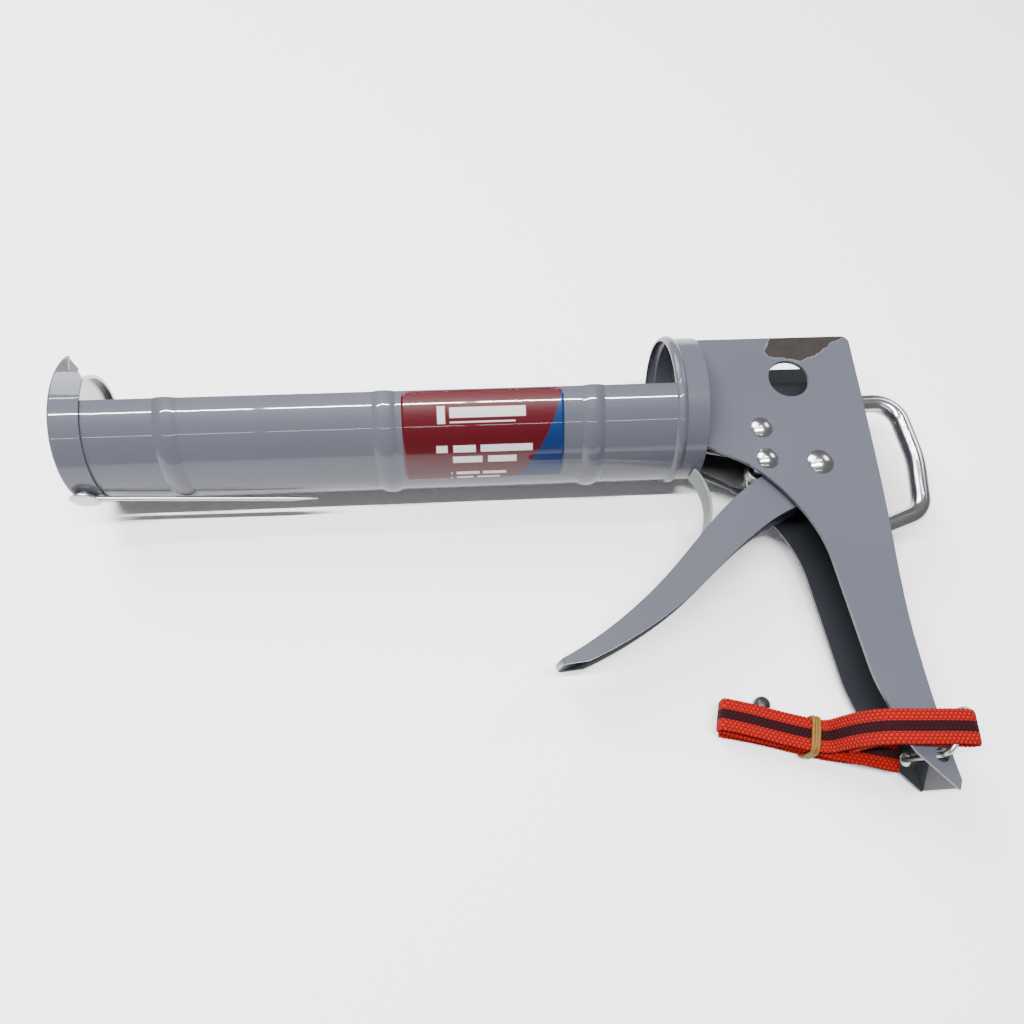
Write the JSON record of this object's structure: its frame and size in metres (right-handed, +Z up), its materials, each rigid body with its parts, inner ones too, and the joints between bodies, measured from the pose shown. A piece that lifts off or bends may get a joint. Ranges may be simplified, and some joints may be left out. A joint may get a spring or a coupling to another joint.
{
  "type": "caulking gun",
  "caption": "Half-barrel caulking gun lying on its side: open cradle, ratchet rod with ladder hook, pressed handle and trigger, seal punch and wrist strap.",
  "frame": {"origin": "on the surface the gun lies on, under the centre of the gun's bounding box without its strap", "axes": "+X from the front cap to the hook along the barrel, +Y away from the handle, +Z up from the surface"},
  "size_m": [0.3166, 0.172, 0.0561],
  "materials": {
    "grey_paint": "gloss grey paint",
    "zinc": "zinc plated",
    "chrome": "bright plated",
    "label_print": "printed film",
    "webbing": "ribbed webbing",
    "band_rubber": "tan rubber",
    "toggle_plastic": "black"
  },
  "bodies": {
    "gun_body": {"barrel": "grey_paint", "front_cap": "grey_paint", "barrel_back_plate": "zinc", "barrel_nut": "zinc", "label": "label_print", "punch_rivet": "zinc", "housing": "grey_paint", "front_bracket": "zinc", "bracket_rivet_upper": "chrome", "bracket_rivet_lower": "chrome", "trigger_rivet": "chrome", "trigger_washers": "zinc", "rear_bush": "zinc", "return_spring": "zinc", "stop_pawl_spring": "zinc", "lanyard_ring": "zinc", "strap_hank": "webbing", "strap_loop": "webbing", "rubber_band": "band_rubber", "strap_toggle": "toggle_plastic"},
    "punch": {"seal_punch": "zinc"},
    "lever": {"trigger": "grey_paint", "finger_strip": "zinc", "pawl_pin": "zinc", "drive_pawl_spring": "zinc", "cutter_blade": "zinc"},
    "pusher": {"drive_pawl": "zinc"},
    "stop": {"stop_pawl": "zinc"},
    "plunger": {"plunger_disc": "zinc"},
    "ram": {"rod": "chrome", "rod_nut": "chrome", "plunger_washer": "zinc"}
  },
  "joints": [
    {"name": "trigger_pull", "type": "hinge", "parent": "gun_body", "child": "lever", "pos_m": [0.11205, 0.0284, 0.02495], "axis": [0, -0.1044, 0.9945], "range_deg": [0, 22], "stiffness_Nm_per_rad": 1.2, "springref_deg": -20.05},
    {"name": "drive_pawl_turn", "type": "hinge", "parent": "lever", "child": "pusher", "pos_m": [0.11549, 0.04597, 0.02679], "axis": [0, -0.1044, 0.9945], "range_deg": [-22, 0]},
    {"name": "stop_pawl_turn", "type": "hinge", "parent": "gun_body", "child": "stop", "pos_m": [0.09265, 0.04292, 0.02647], "axis": [0, -0.1044, 0.9945], "range_deg": [0, 10], "stiffness_Nm_per_rad": 0.05, "springref_deg": -17.19},
    {"name": "seal_punch_swing", "type": "hinge", "parent": "gun_body", "child": "punch", "pos_m": [-0.15315, 0.02895, 0.02642], "axis": [0, 0.9945, 0.1044], "range_deg": [-180, 180]},
    {"name": "plunger_slide", "type": "slide", "parent": "gun_body", "child": "plunger", "axis": [1, 0, 0], "range_m": [0, 0.22]},
    {"name": "rod_turn", "type": "hinge", "parent": "plunger", "child": "ram", "pos_m": [-0.15215, 0.05794, 0.02805], "axis": [1, 0, 0], "range_deg": [-180, 180]}
  ],
  "couplings": [
    {"joint": "drive_pawl_turn", "follows": "trigger_pull", "ratio": -1}
  ]
}
